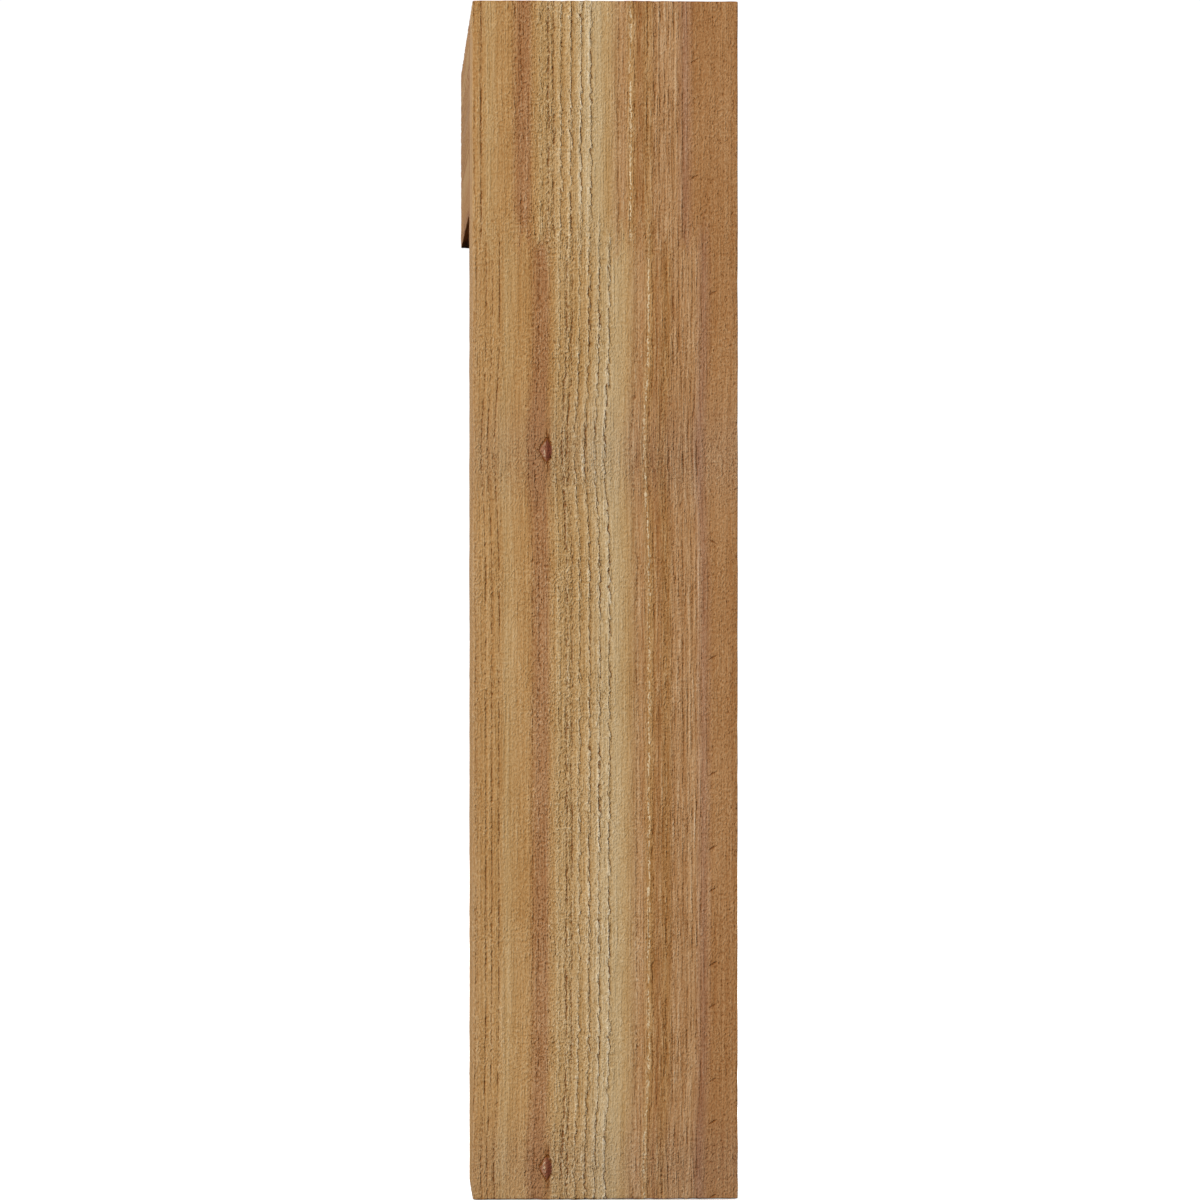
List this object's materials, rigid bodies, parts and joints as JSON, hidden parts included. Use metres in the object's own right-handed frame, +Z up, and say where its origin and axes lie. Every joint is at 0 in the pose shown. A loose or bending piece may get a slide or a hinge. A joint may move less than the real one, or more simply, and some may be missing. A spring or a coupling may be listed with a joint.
{
  "type": "wooden bracket",
  "caption": "Rough-sawn timber wall bracket with an upright post, a level arm flush with its top and a plain sloping brace, made to carry an eave, beam or shelf.",
  "frame": {"origin": "middle of the post's flat wall side, where the bracket bears on the wall", "axes": "+Z up, +Y out from the wall along the arm, +X across the bracket's width"},
  "size_m": [0.1016, 0.3048, 0.4572],
  "materials": {
    "rough_sawn_cedar": "matte"
  },
  "bodies": {
    "root": {"post": "rough_sawn_cedar", "arm": "rough_sawn_cedar", "brace": "rough_sawn_cedar"}
  },
  "joints": []
}
